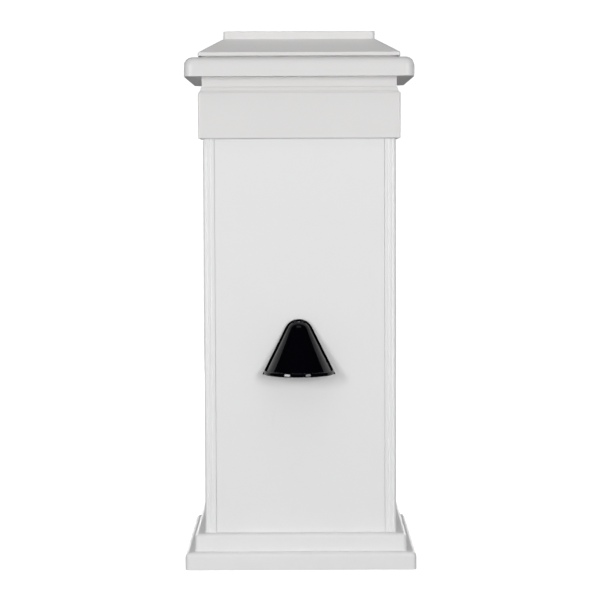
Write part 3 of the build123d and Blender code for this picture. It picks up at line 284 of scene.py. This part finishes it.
LOOKS = {
    "white_vinyl": white_shell("white_vinyl", (0.868, 0.868, 0.870), 620.0),
    "white_cap": white_shell("white_cap", (0.800, 0.792, 0.788), 620.0, 0.9),
    "white_trim": white_shell("white_trim", (0.875, 0.876, 0.880), 520.0, 0.3, 0.0002),
    "white_steel": white_shell("white_steel", (0.80, 0.80, 0.79), 1500.0, 0.8),
    "white_seal": rubber("white_seal", (0.62, 0.62, 0.61)),
    "black_gloss": gloss_black("black_gloss"),
    "black_matte": plastic("black_matte", (0.018, 0.018, 0.020), 0.52),
    "black_rubber": rubber("black_rubber", (0.012, 0.012, 0.012)),
    "galvanised_steel": galvanised("galvanised_steel"),
    "zinc_hardware": metal("zinc_hardware", (0.64, 0.64, 0.61), 0.30),
    "module_grey": plastic("module_grey", (0.60, 0.61, 0.61), 0.45),
    "controller_grey": plastic("controller_grey", (0.055, 0.06, 0.066), 0.55, 900.0, 0.0001),
    "terminal_grey": plastic("terminal_grey", (0.27, 0.28, 0.27), 0.5),
    "lever_black": plastic("lever_black", (0.012, 0.012, 0.014), 0.38),
    "knob_red": plastic("knob_red", (0.46, 0.018, 0.014), 0.33),
    "button_yellow": plastic("button_yellow", (0.70, 0.42, 0.03), 0.36),
    "brass": metal("brass", (0.74, 0.53, 0.22), 0.26, (1.0, 0.08, 1.0)),
    "steel_pin": metal("steel_pin", (0.58, 0.58, 0.57), 0.24, (0.08, 1.0, 1.0)),
    "gland_grey": plastic("gland_grey", (0.11, 0.115, 0.12), 0.5),
}
HEAD_PIECES = ("collar_band", "neck_moulding", "cap_soffit", "cap_tray", "cap_roof", "cap_crown")
for entry in frame["record"]["subparts"]:
    mesh = nodes[entry["node"]].data
    mesh.materials.clear()
    look = "white_cap" if entry["node"] in HEAD_PIECES else entry["material_slot"]
    mesh.materials.append(LOOKS[look])


# ------------------------------------------------------------------ small pieces
def piece(name, verts, faces, body, slot, edge):
    """A mesh piece that rides on a body, finished like a slot, with softened edges."""
    mesh = bpy.data.meshes.new(name)
    mesh.from_pydata(verts, [], faces)
    made = bpy.data.objects.new(name, mesh)
    bpy.context.scene.collection.objects.link(made)
    mesh.materials.append(LOOKS[slot])
    bevel = made.modifiers.new("edge", "BEVEL")
    bevel.width = edge
    bevel.segments = 2
    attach(made, body)


def prism(outline, back, front):
    """The vertices and faces of an upright outline (x, z) drawn out along Y."""
    count = len(outline)
    verts = [(x, back, z) for x, z in outline] + [(x, front, z) for x, z in outline]
    sides = [(i, (i + 1) % count, (i + 1) % count + count, i + count) for i in range(count)]
    return verts, [tuple(reversed(range(count))), tuple(range(count, 2 * count))] + sides


def joined(solids):
    """Several lists of vertices and faces as one."""
    verts, faces = [], []
    for more_verts, more_faces in solids:
        faces += [tuple(i + len(verts) for i in face) for face in more_faces]
        verts += more_verts
    return verts, faces


def rectangle(x, z, width, height):
    """The outline of a rectangle about a centre."""
    w, h = width / 2, height / 2
    return [(x - w, z - h), (x - w, z + h), (x + w, z + h), (x + w, z - h)]


def arc(x, z, radius, start, end, steps):
    """The outline of a slice of a disc about a centre, between two angles in degrees."""
    angles = [radians(start + (end - start) * i / steps) for i in range(steps + 1)]
    return [(x - radius * cos(a), z + radius * sin(a)) for a in angles]


def slotted_screw(x, z, floor, radius):
    """A cheese-head terminal screw: a disc with two half heads and a slot between them."""
    half_slot = 17.0
    disc = arc(x, z, radius, 0.0, 360.0 - 22.5, 15)
    upper = arc(x, z, radius, half_slot, 180.0 - half_slot, 9)
    lower = arc(x, z, radius, 180.0 + half_slot, 360.0 - half_slot, 9)
    ledge = floor + SCREW_DISC
    heads = [prism(half_head, ledge, floor + SCREW_HEIGHT) for half_head in (upper, lower)]
    return [prism(disc, floor, ledge)] + heads


def terminal_screws():
    """The screws at the bottom of the devices' and the terminals' wells."""
    solids = []
    for node, count in DEVICE_WELLS.items():
        low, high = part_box(node)
        pitch = (high.x - low.x) / count
        middle = (low.z + high.z) / 2
        for place in range(count):
            for z in (middle - DEVICE_WELL_RISE, middle + DEVICE_WELL_RISE):
                x = low.x + pitch * (place + 0.5)
                solids += slotted_screw(x, z, low.y + DEVICE_WELL_FLOOR, DEVICE_SCREW_RADIUS)
    low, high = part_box("terminal_blocks")
    middle = (low.z + high.z) / 2
    for place in range(TERMINALS):
        for z in (middle - TERMINAL_WELL_RISE, middle + TERMINAL_WELL_RISE):
            x = low.x + TERMINAL_HALF + TERMINAL_PITCH * place
            solids += slotted_screw(x, z, high.y - TERMINAL_WELL_DEPTH, TERMINAL_SCREW_RADIUS)
    piece("terminal_screws", *joined(solids), "post", "zinc_hardware", 0.00012)


def meter_display():
    """The dark pane sunk in the meter's face."""
    low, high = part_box("energy_meter")
    middle = (low.x + high.x) / 2
    rise = 0.007
    width, height = 0.0432, 0.0172
    back, front = 0.00145, 0.0009
    outline = rectangle(middle, (low.z + high.z) / 2 + rise, width, height)
    pane = prism(outline, high.y - back, high.y - front)
    piece("meter_display", *pane, "post", "black_gloss", 0.0002)


def knob_pointer():
    """The white line on the isolator knob's grip."""
    low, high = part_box("isolator_knob")
    rise = 0.0085
    width, height = 0.0016, 0.009
    sunk, proud = 0.0004, 0.0003
    outline = rectangle((low.x + high.x) / 2, (low.z + high.z) / 2 + rise, width, height)
    line = prism(outline, high.y - sunk, high.y + proud)
    piece("knob_pointer", *line, "isolator", "white_steel", 0.0001)


def status_lights():
    """Three small lenses in the controller's upper corner."""
    low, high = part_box("charge_controller")
    inset, drop, pitch, radius = 0.022, 0.018, 0.009, 0.0020
    sunk, proud, count = 0.0005, 0.0009, 3
    solids = []
    for place in range(count):
        lens = arc(high.x - inset - pitch * place, high.z - drop, radius, 0.0, 360.0 - 15.0, 23)
        solids.append(prism(lens, high.y - sunk, high.y + proud))
    piece("status_lights", *joined(solids), "post", "button_yellow", 0.0004)


# ------------------------------------------------------------------ stage, light and camera
def floor():
    """A pale floor that runs up into a backdrop, far behind the post and far in front of it."""
    width, flat, rise, top, bend = 12.0, 8.0, 3.0, 9.0, 12
    rows = []
    for step in range(bend + 1):
        angle = radians(90.0 * step / bend)
        rows.append((flat + rise * sin(angle), rise * (1.0 - cos(angle))))
    rows.append((flat + rise, top))
    rows = [(-y, z) for y, z in reversed(rows)] + rows
    verts = [(x, y, z) for y, z in rows for x in (-width, width)]
    faces = [(2 * i, 2 * i + 1, 2 * i + 3, 2 * i + 2) for i in range(len(rows) - 1)]
    mesh = bpy.data.meshes.new("floor")
    mesh.from_pydata(verts, [], faces)
    mesh.polygons.foreach_set("use_smooth", [True] * len(mesh.polygons))
    ground = bpy.data.objects.new("floor", mesh)
    bpy.context.scene.collection.objects.link(ground)
    shader = Shader("floor_paint", roughness=0.85)
    tone = shader.mix(shader.noise(3.0, 5.0), (0.90, 0.90, 0.90), (0.88, 0.88, 0.88))
    shader.set("Base Color", tone)
    shader.set("Emission Color", (1.0, 1.0, 1.0, 1.0))
    shader.set("Emission Strength", FLOOR_GLOW)
    mesh.materials.append(shader.material)
    ground.visible_diffuse = False
    ground.visible_glossy = False


def softbox(name, place, width, height, power):
    """A rectangular studio light, aimed at the post."""
    data = bpy.data.lights.new(name, "AREA")
    data.shape = "RECTANGLE"
    data.size = width
    data.size_y = height
    data.energy = power
    lamp = bpy.data.objects.new(name, data)
    bpy.context.scene.collection.objects.link(lamp)
    lamp.location = place
    lamp.rotation_euler = (Vector(LAMP_AIM) - Vector(place)).to_track_quat("-Z", "Y").to_euler()
    return lamp


def light():
    """Softboxes in front, above and behind, low strips for the gloss alone, and an even room."""
    for name, (place, width, height, power) in LAMPS.items():
        lamp = softbox(name, place, width, height, power)
        if name in STRIPS:
            lamp.visible_diffuse = False
    world = bpy.data.worlds.new("room")
    bpy.context.scene.world = world
    world.cycles_visibility.glossy = False
    world.use_nodes = True
    tree = world.node_tree
    room = tree.nodes["Background"]
    towards = tree.nodes.new("ShaderNodeSeparateXYZ")
    tree.links.new(tree.nodes.new("ShaderNodeTexCoord").outputs["Generated"], towards.inputs[0])
    wall = tree.nodes.new("ShaderNodeMapRange")
    tree.links.new(towards.outputs["Y"], wall.inputs["Value"])
    blend = {"From Min": -0.6, "From Max": 0.2, "To Min": ROOM_FRONT, "To Max": ROOM_BACK}
    for key, value in blend.items():
        wall.inputs[key].default_value = value
    tree.links.new(wall.outputs[0], room.inputs["Strength"])
    room.inputs["Color"].default_value = (1.0, 1.0, 1.0, 1.0)


def camera():
    """The camera of the reference view."""
    data = bpy.data.cameras.new("camera")
    data.lens = LENS
    data.sensor_width = SENSOR
    data.clip_end = 60.0
    eye = bpy.data.objects.new("camera", data)
    bpy.context.scene.collection.objects.link(eye)
    place = Matrix.Translation((CAMERA_SIDE, SHAFT_FRONT - CAMERA_DISTANCE, CAMERA_HEIGHT))
    tilt = Matrix.Rotation(radians(90.0 - CAMERA_PITCH), 4, "X")
    roll = Matrix.Rotation(radians(CAMERA_ROLL), 4, "Z")
    eye.matrix_world = place @ tilt @ roll
    bpy.context.scene.camera = eye


terminal_screws()
meter_display()
knob_pointer()
status_lights()
floor()
light()
camera()
bpy.context.scene.view_settings.view_transform = "Standard"
